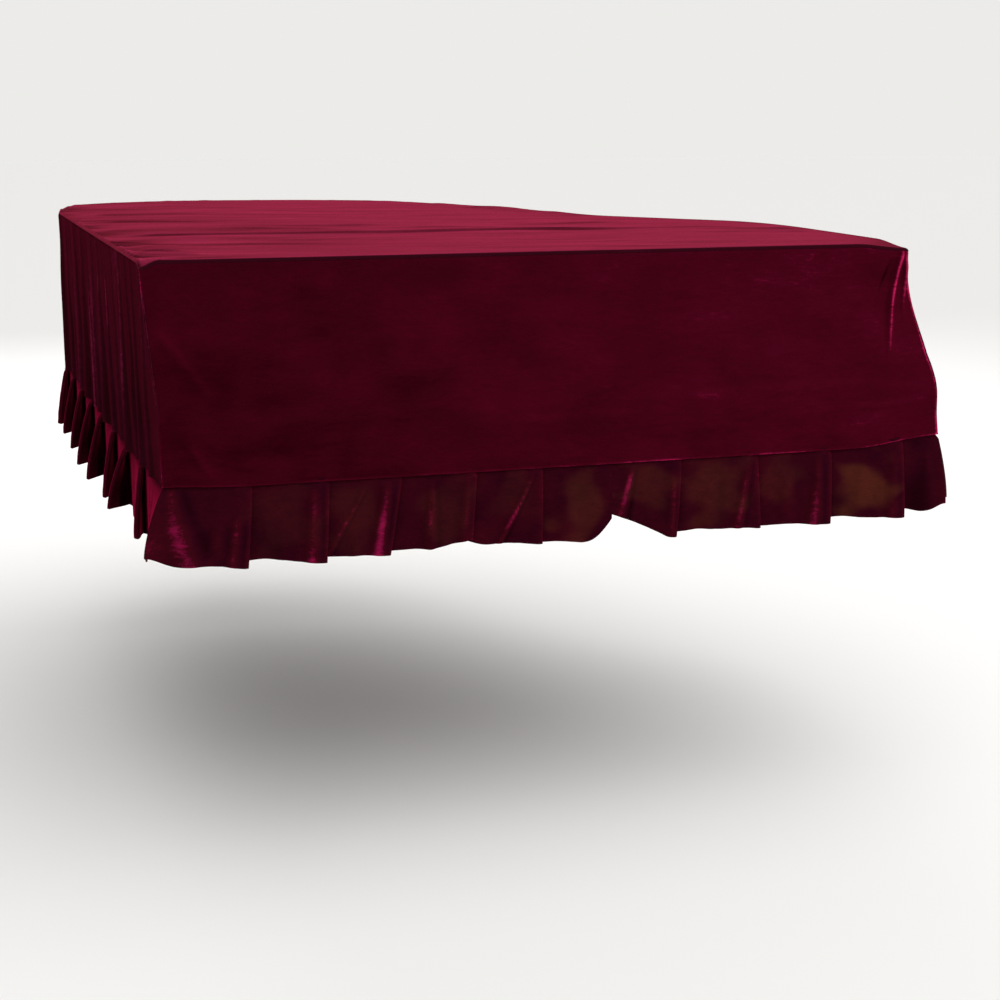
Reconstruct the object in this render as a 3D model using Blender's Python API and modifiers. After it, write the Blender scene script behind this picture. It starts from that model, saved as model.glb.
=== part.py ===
"""A fitted velvet cover for a closed grand piano, as it hangs on the piano.

The cover is a top cut to the plan of the lid, a skirt in four panels, and a ruffle of knife pleats in
five lengths. The piano is left out. The origin lies on the underside of the top, where the lid holds it
up. +X points to the treble side, +Y to the tail, +Z up. Units are metres.
"""

import math
from collections import namedtuple

import bmesh
import bpy
import numpy as np

# Driving dimensions
FRONT_WIDTH = 1.500       # the lid's front edge
FRONT_Y = -0.720          # the lid's front edge, in front of the origin
CLOTH = 0.0015            # thickness of the velvet
SEAM_GAP = 0.0004         # clear space where two pieces meet
EDGE_RADIUS = 0.006       # the top's turn over the edge of the lid
SKIRT_DROP = 0.3725       # top of the cover to the skirt's lower seam
RUFFLE_DROP = 0.136       # skirt's lower seam to the hem
LAYER = 0.0030            # from one layer of a pressed pleat to the next
TURN = LAYER / 2          # radius of the folded edge of a pleat

HALF_WIDTH = FRONT_WIDTH / 2
MID_SHEET = CLOTH / 2
TOP_DROP = EDGE_RADIUS + SEAM_GAP

# The lid's plan, from the treble front corner round the tail to the bass front corner
PlanPoint = namedtuple("PlanPoint", "x y")
PLAN = [
    PlanPoint(0.745, -0.400),
    PlanPoint(0.735, -0.220),
    PlanPoint(0.690, -0.085),
    PlanPoint(0.590, 0.020),
    PlanPoint(0.500, 0.110),
    PlanPoint(0.425, 0.200),
    PlanPoint(0.380, 0.320),
    PlanPoint(0.330, 0.470),
    PlanPoint(0.235, 0.650),
    PlanPoint(0.110, 0.820),
    PlanPoint(-0.060, 0.905),
    PlanPoint(-0.260, 0.940),
    PlanPoint(-0.450, 0.935),
    PlanPoint(-0.620, 0.885),
    PlanPoint(-0.715, 0.790),
    PlanPoint(-0.747, 0.640),
    PlanPoint(-0.750, 0.450),
]

# How far the front stands out from the lid's edge, by depth below the top: the cloth slopes over the
# piano's arms and hangs from them
ProfilePoint = namedtuple("ProfilePoint", "drop out")
FRONT_PROFILE = [
    ProfilePoint(0.000, 0.000),
    ProfilePoint(0.055, 0.003),
    ProfilePoint(0.105, 0.021),
    ProfilePoint(0.160, 0.056),
    ProfilePoint(0.215, 0.094),
    ProfilePoint(0.255, 0.125),
    ProfilePoint(0.285, 0.138),
    ProfilePoint(0.330, 0.142),
    ProfilePoint(SKIRT_DROP, 0.150),
]

# Soft folds down a skirt panel: place along the panel from 0 to 1, half width, how far it stands out
# at the seam, and how far its foot runs along the panel
Fold = namedtuple("Fold", "place width height lean")
FRONT_FOLDS = [
    Fold(0.030, 0.020, 0.004, 0.010),
    Fold(0.978, 0.012, -0.004, -0.045),
]
BASS_FOLDS = [
    Fold(0.05, 0.030, 0.006, 0.02),
    Fold(0.14, 0.025, 0.008, 0.01),
    Fold(0.23, 0.030, 0.006, -0.01),
    Fold(0.33, 0.028, 0.009, 0.01),
    Fold(0.44, 0.035, 0.007, 0.00),
    Fold(0.55, 0.026, 0.009, 0.02),
    Fold(0.65, 0.030, 0.006, 0.00),
    Fold(0.76, 0.025, 0.008, -0.01),
    Fold(0.88, 0.030, 0.007, 0.01),
]
TAIL_FOLDS = [
    Fold(0.12, 0.050, 0.008, 0.00),
    Fold(0.35, 0.060, 0.006, 0.01),
    Fold(0.58, 0.050, 0.008, 0.00),
    Fold(0.83, 0.050, 0.007, -0.01),
]
BENTSIDE_FOLDS = [
    Fold(0.10, 0.045, 0.007, 0.01),
    Fold(0.24, 0.050, 0.008, 0.00),
    Fold(0.41, 0.045, 0.009, 0.01),
    Fold(0.57, 0.050, 0.008, 0.00),
    Fold(0.73, 0.045, 0.007, -0.01),
    Fold(0.90, 0.040, 0.008, 0.00),
]

# The ruffle's pleats. Each panel of a pleat runs forward to a folded edge, turns under by its tuck and
# starts again. place is the folded edge, flare how far it stands out at the hem, hang how much longer
# the hem is there.
Pleat = namedtuple("Pleat", "place tuck flare hang")
FRONT_BASS_PLEATS = [
    Pleat(-0.593, 0.032, 0.016, 0.004),
    Pleat(-0.458, 0.030, 0.017, 0.004),
    Pleat(-0.327, 0.032, 0.007, 0.000),
    Pleat(-0.189, 0.030, 0.006, 0.001),
    Pleat(-0.065, 0.032, 0.008, 0.000),
]
FRONT_TREBLE_PLEATS = [
    Pleat(0.207, 0.032, 0.018, 0.005),
    Pleat(0.362, 0.034, 0.007, 0.000),
    Pleat(0.516, 0.034, 0.017, 0.005),
    Pleat(0.669, 0.032, 0.016, 0.004),
]
# These places are measured from the front, back along the bass side
BASS_PLEATS = [
    Pleat(1.470, 0.044, 0.029, 0.000),
    Pleat(1.337, 0.044, 0.034, 0.001),
    Pleat(1.151, 0.045, 0.032, 0.001),
    Pleat(0.980, 0.045, 0.035, 0.003),
    Pleat(0.800, 0.046, 0.036, 0.004),
    Pleat(0.605, 0.042, 0.024, 0.003),
    Pleat(0.419, 0.050, 0.040, -0.018),
    Pleat(0.219, 0.042, 0.014, 0.002),
]
PLEAT_PITCH = 0.182       # round the sides that are plainly pleated
PLAIN_PLEAT = Pleat(None, 0.044, 0.034, 0.002)

# The hem is drawn up where the two front lengths meet
NOTCH_X = 0.070
NOTCH_RISE = 0.043
NOTCH_BASS_REACH = 0.050
NOTCH_TREBLE_REACH = 0.105

# How far the ruffle's hem stands out to the side and to the front at the two front corners
CornerFlare = namedtuple("CornerFlare", "side front")
BASS_CORNER = CornerFlare(0.038, 0.026)
TREBLE_CORNER = CornerFlare(0.016, 0.020)
CORNER_REACH = 0.090

TAIL_START = 1.560        # where the tail's seams lie along the plan, from the treble front corner
TAIL_END = 2.560
SIDE_TAPER = 0.0055       # the skirt hangs in by this much at its foot

# Ridges across the top: where the line crosses the bass side and the treble side, from the lid's front
# edge, its height and its half width
Ridge = namedtuple("Ridge", "bass_y treble_y height half_width")
TOP_RIDGES = [
    Ridge(0.530, 0.467, 0.0035, 0.014),
    Ridge(0.850, 0.760, 0.0015, 0.016),
    Ridge(0.240, 0.255, 0.0012, 0.016),
]

VELVET = {
    "wine velvet, top": (0.245, 0.012, 0.040),
    "wine velvet, skirt": (0.085, 0.002, 0.018),
    "wine velvet, ruffle": (0.105, 0.004, 0.020),
}


def smooth_step(value):
    """0 below 0, 1 above 1, and a smooth rise between."""
    held = min(max(value, 0.0), 1.0)
    return held * held * (3 - 2 * held)


def catmull_rom(before, start, end, after, share):
    """A point between start and end on the curve that runs smoothly through all four."""
    return 0.5 * (
        2 * start
        + (end - before) * share
        + (2 * before - 5 * start + 4 * end - after) * share**2
        + (3 * start - before - 3 * end + after) * share**3
    )


def smooth_table(rows, value):
    """The second column of a table at value, smoothly between its rows."""
    table = np.array(rows)
    held = min(max(value, table[0, 0]), table[-1, 0])
    index = min(int(np.searchsorted(table[:, 0], held, side="right")) - 1, len(table) - 2)
    near = table[[max(index - 1, 0), index, index + 1, min(index + 2, len(table) - 1)], 1]
    share = (held - table[index, 0]) / (table[index + 1, 0] - table[index, 0])
    return catmull_rom(*near, share)


class Route:
    """A smooth line in plan, measured along its length, that runs on straight past both its ends."""

    def __init__(self, knots, samples=24):
        knots = [np.array(knot, float) for knot in knots]
        points = [knots[0]]
        for index in range(1, len(knots) - 2):
            around = knots[index - 1 : index + 3]
            points += [catmull_rom(*around, step / samples) for step in range(samples)]
        points += [knots[-2], knots[-1]]
        self.points = np.array(points)
        steps = np.linalg.norm(np.diff(self.points, axis=0), axis=1)
        self.marks = np.concatenate([[0.0], np.cumsum(steps)])
        self.length = self.marks[-1]

    def at(self, mark):
        """The point at this distance along the line, and the direction that faces out there."""
        held = min(max(mark, 0.0), self.length)
        reach = 0.012
        ahead = self.on_line(min(held + reach, self.length))
        behind = self.on_line(max(held - reach, 0.0))
        along = (ahead - behind) / np.linalg.norm(ahead - behind)
        point = self.on_line(held) + along * (mark - held)
        return point, np.array([along[1], -along[0]])

    def on_line(self, mark):
        return np.array([np.interp(mark, self.marks, self.points[:, axis]) for axis in (0, 1)])


def side_route():
    """Treble front corner, bentside, tail, bass side, bass front corner."""
    treble = [(HALF_WIDTH, FRONT_Y), (HALF_WIDTH, FRONT_Y + 0.001)]
    bass = [(-HALF_WIDTH, FRONT_Y + 0.001), (-HALF_WIDTH, FRONT_Y)]
    return Route(treble + [tuple(point) for point in PLAN] + bass)


def front_route():
    """Bass front corner to treble front corner."""
    width = HALF_WIDTH
    return Route([(-width, FRONT_Y), (-width + 0.001, FRONT_Y), (width - 0.001, FRONT_Y), (width, FRONT_Y)])


SIDES = side_route()
FRONT = front_route()


def front_out(drop):
    return smooth_table(FRONT_PROFILE, drop)


def side_taper(drop):
    return SIDE_TAPER * drop / SKIRT_DROP


def drop_between(share, seam):
    """The depth at this share of the way down a skirt panel whose lower seam is at depth seam."""
    return TOP_DROP + share * (seam - TOP_DROP)


def seam_drop_front(x):
    """The front seam rises a little towards both corners."""
    return SKIRT_DROP - 0.006 * smooth_step((-x - 0.60) / 0.15) - 0.018 * smooth_step((x - 0.56) / 0.19)


def seam_drop_side(mark):
    """The side seam meets the front seam at both corners."""
    treble = 0.018 * smooth_step(1 - mark / 0.5)
    bass = 0.006 * smooth_step(1 - (SIDES.length - mark) / 0.3)
    return SKIRT_DROP - treble - bass


def new_collection(name):
    collection = bpy.data.collections.new(name)
    bpy.context.scene.collection.children.link(collection)
    return collection


def velvet(name):
    material = bpy.data.materials.new(name)
    material.use_nodes = True
    shader = material.node_tree.nodes["Principled BSDF"]
    shader.inputs["Base Color"].default_value = (*VELVET[name], 1.0)
    shader.inputs["Roughness"].default_value = 0.85
    shader.inputs["Metallic"].default_value = 0.0
    material.diffuse_color = (*VELVET[name], 1.0)
    return material


def add_sheet(mesh_data, name, material, collection):
    """Makes an object of an open surface and gives it the thickness of the cloth."""
    mesh = bpy.data.meshes.new(name)
    mesh_data.to_mesh(mesh)
    mesh_data.free()
    mesh.materials.append(material)
    mesh.shade_smooth()
    sheet = bpy.data.objects.new(name, mesh)
    collection.objects.link(sheet)
    solidify = sheet.modifiers.new("Cloth", "SOLIDIFY")
    solidify.thickness = CLOTH
    solidify.offset = 0
    solidify.use_even_offset = True
    return sheet


def grid(columns, rows, place):
    """A grid whose point in column i and row j, from the top, goes to place(columns[i], rows[j])."""
    mesh_data = bmesh.new()
    bmesh.ops.create_grid(mesh_data, x_segments=len(columns) - 1, y_segments=len(rows) - 1, size=0.5)
    for vert in mesh_data.verts:
        column = round((vert.co.x + 0.5) * (len(columns) - 1))
        row = round((0.5 - vert.co.y) * (len(rows) - 1))
        vert.co = place(columns[column], rows[row])
    return mesh_data


# A column of a skirt panel: its place from 0 to 1, how far it stands out at the seam, and its lean
Column = namedtuple("Column", "place height lean")


def skirt_columns(folds, length, widest):
    """Five columns for each fold, and plain ones no wider apart than widest."""
    shape = [(-1.0, 0.0), (-0.45, 0.6), (0.0, 1.0), (0.45, 0.6), (1.0, 0.0)]
    columns = [Column(0.0, 0.0, 0.0)]
    for fold in folds:
        for side, share in shape:
            lean = fold.lean * (1 - 0.5 * abs(side))
            columns.append(Column(fold.place + side * fold.width / length, fold.height * share, lean))
    columns.append(Column(1.0, 0.0, 0.0))
    filled = []
    for near, far in zip(columns, columns[1:]):
        count = max(1, math.ceil((far.place - near.place) * length / widest))
        for step in range(count):
            share = step / count
            filled.append(Column(*(a + (b - a) * share for a, b in zip(near, far))))
    return filled + [columns[-1]]


def side_panel(start, end, folds, rows, start_grows, end_grows):
    """A skirt panel between two marks on the side route. An end that grows follows the front's slope."""
    columns = skirt_columns(folds, end - start, 0.075)

    def place(column, share):
        forward = front_out(drop_between(share, SKIRT_DROP))
        first = start - forward - MID_SHEET if start_grows else start
        last = end + forward + MID_SHEET if end_grows else end
        mark = first + column.place * (last - first)
        drop = drop_between(share, seam_drop_side(mark))
        fullness = share**1.2
        point, out = SIDES.at(mark + column.lean * fullness)
        point = point + out * (column.height * fullness - side_taper(drop))
        return (*point, -drop)

    return grid(columns, rows, place)


def front_panel():
    columns = skirt_columns(FRONT_FOLDS, FRONT_WIDTH, 0.080)
    rows = [row.drop / SKIRT_DROP for row in FRONT_PROFILE]

    def place(column, share):
        even_drop = drop_between(share, SKIRT_DROP)
        half = HALF_WIDTH - side_taper(even_drop) - MID_SHEET - SEAM_GAP
        fullness = share**0.8 * smooth_step((1 - share) * 3)
        x = -half + column.place * 2 * half + column.lean * fullness
        drop = drop_between(share, seam_drop_front(x))
        return (x, FRONT_Y - front_out(even_drop) - column.height * fullness, -drop)

    return grid(columns, rows, place)


def flare_share(depth):
    """How much of its flare the ruffle has reached at this depth, from 0 at the seam to 1 at the hem."""
    return 1 - (1 - depth) ** 1.5


# A point of the ruffle's section: the mark of the folded edge that it belongs to, its place behind
# that edge, its layer in the pressed pleat, its share of the flare and what it hangs
Stitch = namedtuple("Stitch", "mark back tucked layer flare hang")


def ruffle_section(start, end, pleats, start_flare, end_flare):
    """The stitches along a ruffle, in order, from its start to its end."""
    section = [Stitch(start, 0.0, 0.0, -1.0, start_flare, 0.0)]
    before = Pleat(start, 0.0, start_flare, 0.0)
    for pleat in pleats:
        pitch = pleat.place - before.place
        section.append(Stitch(before.place, -0.10 * pitch, 0.0, -0.9, start_flare * 0.35, 0.0))
        section.append(Stitch(before.place, -0.40 * pitch, 0.0, -0.4, pleat.flare * 0.25, 0.0))
        section.append(Stitch(before.place, -0.72 * pitch, 0.0, 0.4, pleat.flare * 0.62, pleat.hang * 0.5))
        section.append(Stitch(pleat.place, TURN, 0.0, 1.0, pleat.flare, pleat.hang))
        section.append(Stitch(pleat.place, 0.0, 0.0, 0.5, pleat.flare, pleat.hang))
        section.append(Stitch(pleat.place, TURN, 0.0, 0.0, pleat.flare, pleat.hang))
        section.append(Stitch(pleat.place, -TURN, pleat.tuck, 0.0, 0.0, 0.0))
        section.append(Stitch(pleat.place, 0.0, pleat.tuck, -0.5, 0.0, 0.0))
        section.append(Stitch(pleat.place, -TURN, pleat.tuck, -1.0, 0.0, 0.0))
        before = pleat
        start_flare = 0.0
    rest = end - before.place
    section.append(Stitch(before.place, -0.12 * rest, 0.0, -0.9, 0.0, 0.0))
    section.append(Stitch(before.place, -0.55 * rest, 0.0, -0.6, end_flare * 0.35, 0.0))
    section.append(Stitch(end, 0.0, 0.0, -0.4, end_flare, 0.0))
    return section


def opened_tuck(stitch, flare, depth):
    """The tuck gets narrower as the pleat opens, because the cloth in it keeps its length."""
    standing = flare * flare_share(depth)
    return math.sqrt(max(stitch.tucked**2 - standing**2, (0.3 * stitch.tucked) ** 2))


def ruffle(route, section, pleats, seam_drop, seam_out, pushes, rise):
    """A ruffle below a seam. pushes gives each end's move along the seam at the hem, and rise how far
    the hem is drawn up at a mark."""
    flares = {pleat.place: pleat.flare for pleat in pleats}
    start, end = section[0].mark, section[-1].mark

    def place(stitch, depth):
        spread = flare_share(depth)
        mark = stitch.mark - stitch.back
        if stitch.tucked:
            mark -= opened_tuck(stitch, flares[stitch.mark], depth)
        from_start = smooth_step(1 - (mark - start) / CORNER_REACH)
        from_end = smooth_step(1 - (end - mark) / CORNER_REACH)
        moved = mark + spread * (pushes[0] * from_start + pushes[1] * from_end)
        point, out = route.at(moved)
        standing = seam_out(mark) + stitch.layer * LAYER + stitch.flare * spread
        point = point + out * standing
        drop = seam_drop(mark) + SEAM_GAP + depth * (RUFFLE_DROP + stitch.hang - rise(mark))
        return (*point, -drop)

    return grid(section, [0.0, 0.3, 0.65, 1.0], place)


def level(mark):
    return 0.0


def notch_from_bass(mark):
    return NOTCH_RISE * smooth_step(1 - (NOTCH_X - front_x(mark)) / NOTCH_BASS_REACH)


def notch_from_treble(mark):
    return NOTCH_RISE * max(0.0, 1 - (front_x(mark) - NOTCH_X) / NOTCH_TREBLE_REACH)


def front_x(mark):
    return mark - HALF_WIDTH


def on_front(pleats):
    """Pleats placed by x become pleats placed along the front route."""
    return [pleat._replace(place=pleat.place + HALF_WIDTH) for pleat in pleats]


def plain_pleats(start, end):
    """Pleats evenly along a hidden side."""
    count = round((end - start) / PLEAT_PITCH)
    pitch = (end - start) / count
    return [PLAIN_PLEAT._replace(place=start + pitch * (index + 0.6)) for index in range(count)]


def front_ruffle(start, end, pleats, start_flare, end_flare, pushes, rise):
    section = ruffle_section(start, end, pleats, start_flare, end_flare)
    return ruffle(
        FRONT,
        section,
        pleats,
        lambda mark: seam_drop_front(front_x(mark)),
        lambda mark: front_out(SKIRT_DROP),
        pushes,
        rise,
    )


def side_ruffle(start, end, pleats, start_flare, end_flare, pushes):
    section = ruffle_section(start, end, pleats, start_flare, end_flare)
    return ruffle(SIDES, section, pleats, seam_drop_side, lambda mark: -SIDE_TAPER, pushes, level)


def top_outline():
    """Points round the lid's plan, closer together where it bends."""
    marks = list(np.arange(0.0, 0.40, 0.08)) + list(np.arange(0.40, 2.72, 0.045))
    marks += list(np.arange(2.75, SIDES.length, 0.12)) + [SIDES.length]
    outline = [tuple(SIDES.at(mark)[0]) for mark in marks]
    outline += [(x, FRONT_Y) for x in np.arange(-0.60, 0.61, 0.15)]
    return outline


def ridge_height(x, y):
    """How far the cloth stands up off the lid. The ridges fade out towards both sides."""
    height = 0.0
    for ridge in TOP_RIDGES:
        share = (x + HALF_WIDTH) / FRONT_WIDTH
        line = FRONT_Y + ridge.bass_y + share * (ridge.treble_y - ridge.bass_y)
        fade = smooth_step((0.70 - abs(x)) / 0.15)
        height += ridge.height * fade * smooth_step(1 - abs(y - line) / ridge.half_width)
    return height


def cut(mesh_data, point, normal):
    geometry = mesh_data.verts[:] + mesh_data.edges[:] + mesh_data.faces[:]
    bmesh.ops.bisect_plane(mesh_data, geom=geometry, dist=1e-5, plane_co=point, plane_no=normal)


def top_panel():
    mesh_data = bmesh.new()
    face = mesh_data.faces.new([mesh_data.verts.new((x, y, 0.0)) for x, y in top_outline()])
    face.normal_update()
    if face.normal.z < 0:
        face.normal_flip()
    angles = [math.radians(angle) for angle in (0, 32, 62, 90)]
    heights = [MID_SHEET - EDGE_RADIUS + EDGE_RADIUS * math.sin(angle) for angle in angles]
    for vert in mesh_data.verts:
        vert.co.z = heights[0]
    for near, far, height in zip(angles, angles[1:], heights[1:]):
        step = EDGE_RADIUS * (math.cos(near) - math.cos(far))
        bmesh.ops.inset_region(
            mesh_data, faces=[face], thickness=step, use_boundary=True, use_even_offset=True
        )
        for vert in face.verts:
            vert.co.z = height
    for ridge in TOP_RIDGES:
        slope = (ridge.treble_y - ridge.bass_y) / FRONT_WIDTH
        middle = FRONT_Y + (ridge.bass_y + ridge.treble_y) / 2
        for offset in (-1.0, -0.5, 0.0, 0.5, 1.0):
            cut(mesh_data, (0, middle + offset * ridge.half_width, 0), (-slope, 1, 0))
    for x in (-0.69, -0.62, -0.55, -0.35, -0.12, 0.12, 0.35, 0.55, 0.62, 0.69):
        cut(mesh_data, (x, 0, 0), (1, 0, 0))
    for y in (-0.64, -0.36, 0.28, 0.46, 0.64, 0.80):
        cut(mesh_data, (0, y, 0), (0, 1, 0))
    for vert in mesh_data.verts:
        if vert.co.z > 0:
            vert.co.z += ridge_height(vert.co.x, vert.co.y)
    return mesh_data


def build():
    for obj in list(bpy.data.objects):
        bpy.data.objects.remove(obj)
    cover = new_collection("grand_piano_cover")
    top, skirt, ruffled = (velvet(name) for name in VELVET)
    rows = [0.0, 0.25, 0.5, 0.75, 1.0]
    length = SIDES.length
    seam = SEAM_GAP / 2

    add_sheet(top_panel(), "top_panel", top, cover)
    add_sheet(front_panel(), "front_panel", skirt, cover)
    bentside = side_panel(0.0, TAIL_START - seam, BENTSIDE_FOLDS, rows, True, False)
    add_sheet(bentside, "bentside_panel", skirt, cover)
    tail = side_panel(TAIL_START + seam, TAIL_END - seam, TAIL_FOLDS, rows, False, False)
    add_sheet(tail, "tail_panel", skirt, cover)
    bass = side_panel(TAIL_END + seam, length, BASS_FOLDS, rows, False, True)
    add_sheet(bass, "bass_panel", skirt, cover)

    arm = front_out(SKIRT_DROP)
    corner = SIDE_TAPER + MID_SHEET + SEAM_GAP
    front_bass = front_ruffle(
        corner + LAYER,
        NOTCH_X + HALF_WIDTH - seam,
        on_front(FRONT_BASS_PLEATS),
        BASS_CORNER.front,
        0.004,
        (-BASS_CORNER.side, 0.0),
        notch_from_bass,
    )
    add_sheet(front_bass, "front_ruffle_bass", ruffled, cover)
    front_treble = front_ruffle(
        NOTCH_X + HALF_WIDTH + seam,
        FRONT_WIDTH - corner - LAYER,
        on_front(FRONT_TREBLE_PLEATS),
        0.004,
        TREBLE_CORNER.front,
        (0.0, TREBLE_CORNER.side),
        notch_from_treble,
    )
    add_sheet(front_treble, "front_ruffle_treble", ruffled, cover)

    bass_pleats = [pleat._replace(place=length + arm - pleat.place) for pleat in BASS_PLEATS]
    bass_ruffle = side_ruffle(
        TAIL_END + seam, length + arm, bass_pleats, 0.0, BASS_CORNER.side, (0.0, BASS_CORNER.front)
    )
    add_sheet(bass_ruffle, "bass_ruffle", ruffled, cover)
    tail_ruffle = side_ruffle(
        TAIL_START + seam, TAIL_END - seam, plain_pleats(TAIL_START, TAIL_END), 0.0, 0.0, (0.0, 0.0)
    )
    add_sheet(tail_ruffle, "tail_ruffle", ruffled, cover)
    bentside_ruffle = side_ruffle(
        -arm,
        TAIL_START - seam,
        plain_pleats(-arm, TAIL_START),
        TREBLE_CORNER.side,
        0.0,
        (-TREBLE_CORNER.front, 0.0),
    )
    add_sheet(bentside_ruffle, "bentside_ruffle", ruffled, cover)


build()
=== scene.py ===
import math

import bpy
import numpy as np
from mathutils import Matrix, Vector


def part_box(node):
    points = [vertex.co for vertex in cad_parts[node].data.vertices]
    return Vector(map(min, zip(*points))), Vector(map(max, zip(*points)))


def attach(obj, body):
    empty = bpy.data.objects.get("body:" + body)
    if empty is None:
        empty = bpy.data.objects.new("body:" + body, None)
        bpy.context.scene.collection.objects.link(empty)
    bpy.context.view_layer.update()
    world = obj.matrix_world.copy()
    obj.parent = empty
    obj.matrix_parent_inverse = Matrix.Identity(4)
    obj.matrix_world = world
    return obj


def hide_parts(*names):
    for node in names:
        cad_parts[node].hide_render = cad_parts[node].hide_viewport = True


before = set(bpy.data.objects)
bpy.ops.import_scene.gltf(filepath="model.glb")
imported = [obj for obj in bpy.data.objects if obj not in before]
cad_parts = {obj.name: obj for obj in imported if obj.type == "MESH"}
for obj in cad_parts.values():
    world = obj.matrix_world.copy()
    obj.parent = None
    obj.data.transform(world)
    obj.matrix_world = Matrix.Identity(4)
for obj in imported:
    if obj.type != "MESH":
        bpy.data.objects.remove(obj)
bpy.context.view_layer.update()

topLow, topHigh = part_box("top_panel")

cloth = {
    "thick": 0.0015,        # pile and ground together
    "layer": 0.0030,        # from layer to layer where a pleat is pressed
    "turn": 0.0015,         # radius of a pleat's folded edge
    "gap": 0.0004,
    "tuckUnder": 0.0015,    # the skirt's sewn edge goes up behind the rim of the top
}

lid = {
    "half": round(topHigh[0], 3),       # half its width at the keyboard end
    "front": round(topLow[1], 3),       # its front edge
    "edge": 0.006,                      # how round the cloth goes over its edge
    # corners where the cloth sinks a little: place, how far, over what reach
    "sags": [((0.75, -0.72), 0.010, 0.115), ((-0.75, -0.72), 0.011, 0.034), ((-0.74, 0.72), 0.003, 0.120)],
}

# plan of the lid from the treble side round the tail to the bass side
planKnots = [
    (0.745, -0.400), (0.735, -0.220), (0.690, -0.085), (0.590, 0.020), (0.500, 0.110), (0.425, 0.200),
    (0.380, 0.320), (0.330, 0.470), (0.235, 0.650), (0.110, 0.820), (-0.060, 0.905), (-0.260, 0.940),
    (-0.450, 0.935), (-0.620, 0.885), (-0.715, 0.790), (-0.747, 0.640), (-0.750, 0.450),
]

skirt = {
    "drop": 0.3725,         # top of the cover to the ruffle's seam
    "frontRun": 0.42,       # the same down the front's slope
    "sideRun": 0.36,        # and down the sides
    "taper": 0.0055,        # hangs in by this at its foot
    "tailStart": 1.560,     # marks on the side route where the panels are sewn together
    "tailEnd": 2.560,
}

# how far the front stands out over the arms, by depth
frontProfile = [
    (0.000, 0.000), (0.055, 0.003), (0.105, 0.021), (0.160, 0.056), (0.215, 0.094),
    (0.255, 0.125), (0.285, 0.138), (0.330, 0.142), (skirt["drop"], 0.150),
]
# fuller by the bass corner, where the arm pushes the cloth out from higher up
bassProfile = [
    (0.000, 0.000), (0.055, 0.018), (0.105, 0.044), (0.160, 0.078), (0.215, 0.114),
    (0.255, 0.138), (0.285, 0.146), (0.330, 0.147), (skirt["drop"], 0.150),
]


def smoothStep(value):
    held = np.clip(value, 0.0, 1.0)
    return held * held * (3 - 2 * held)


def softBump(distance):
    # 1 at the middle, 0 at a distance of 1, round in between
    return smoothStep(1 - np.abs(distance))


def catmull(before, start, end, after, share):
    return 0.5 * (
        2 * start + (end - before) * share
        + (2 * before - 5 * start + 4 * end - after) * share ** 2
        + (3 * start - before - 3 * end + after) * share ** 3
    )


def fromTable(rows, value):
    # smooth look-up in a table of two columns
    table = np.array(rows, float)
    held = np.clip(value, table[0, 0], table[-1, 0])
    index = np.clip(np.searchsorted(table[:, 0], held, side="right") - 1, 0, len(table) - 2)
    last = len(table) - 1
    share = (held - table[index, 0]) / (table[index + 1, 0] - table[index, 0])
    return catmull(
        table[np.maximum(index - 1, 0), 1], table[index, 1], table[index + 1, 1],
        table[np.minimum(index + 2, last), 1], share,
    )


def makeRoute(knots, perSpan=24):
    knots = np.array(knots, float)
    points = [knots[0]]
    for index in range(1, len(knots) - 2):
        around = knots[index - 1:index + 3]
        points += [catmull(*around, step / perSpan) for step in range(perSpan)]
    points += [knots[-2], knots[-1]]
    points = np.array(points)
    steps = np.linalg.norm(np.diff(points, axis=0), axis=1)
    return {"points": points, "marks": np.concatenate([[0.0], np.cumsum(steps)]), "length": steps.sum()}


def onRoute(route, mark):
    return np.stack([np.interp(mark, route["marks"], route["points"][:, axis]) for axis in (0, 1)], axis=-1)


def alongRoute(route, mark):
    # place on the route and the outward direction there; it runs on straight past both ends
    held = np.clip(mark, 0.0, route["length"])
    reach = 0.012
    ahead = onRoute(route, np.minimum(held + reach, route["length"]))
    behind = onRoute(route, np.maximum(held - reach, 0.0))
    along = ahead - behind
    along = along / np.linalg.norm(along, axis=-1, keepdims=True)
    place = onRoute(route, held) + along * (mark - held)[..., None]
    return place, np.stack([along[..., 1], -along[..., 0]], axis=-1)


def wander(x, y, size, seed, waves=12):
    # soft random hills about one size across, between about -1 and 1
    rng = np.random.RandomState(seed)
    total = np.zeros(np.broadcast(x, y).shape)
    for turn, stretch, phase in zip(rng.rand(waves), rng.rand(waves), rng.rand(waves)):
        angle = turn * 2 * math.pi
        length = size * (0.7 + 0.9 * stretch) * 2
        total += np.cos((x * math.cos(angle) + y * math.sin(angle)) * 2 * math.pi / length + phase * 6.283)
    return total / math.sqrt(waves) * 0.8


half, front = lid["half"], lid["front"]


def sagAt(x, y):
    sag = 0.0 * x
    for (cornerX, cornerY), depth, reach in lid["sags"]:
        sag = sag + depth * smoothStep(1 - np.hypot(x - cornerX, y - cornerY) / reach)
    return sag


sideRoute = makeRoute([(half, front), (half, front + 0.001)] + planKnots + [(-half, front + 0.001), (-half, front)])
frontRoute = makeRoute([(-half, front), (-half + 0.001, front), (half - 0.001, front), (half, front)])
sideLength = sideRoute["length"]


def frontOut(drop, x=half):
    bassShare = smoothStep((-0.30 - x) / 0.45)
    return fromTable(frontProfile, drop) * (1 - bassShare) + fromTable(bassProfile, drop) * bassShare


def frontSeam(x):
    # depth of the ruffle's seam across the front, a little higher at both corners
    return skirt["drop"] - 0.006 * smoothStep((-x - 0.60) / 0.15) - 0.018 * smoothStep((x - 0.56) / 0.19)


def sideSeam(mark):
    treble = 0.018 * smoothStep(1 - mark / 0.5)
    bass = 0.006 * smoothStep(1 - (sideLength - mark) / 0.3)
    return skirt["drop"] - treble - bass


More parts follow.
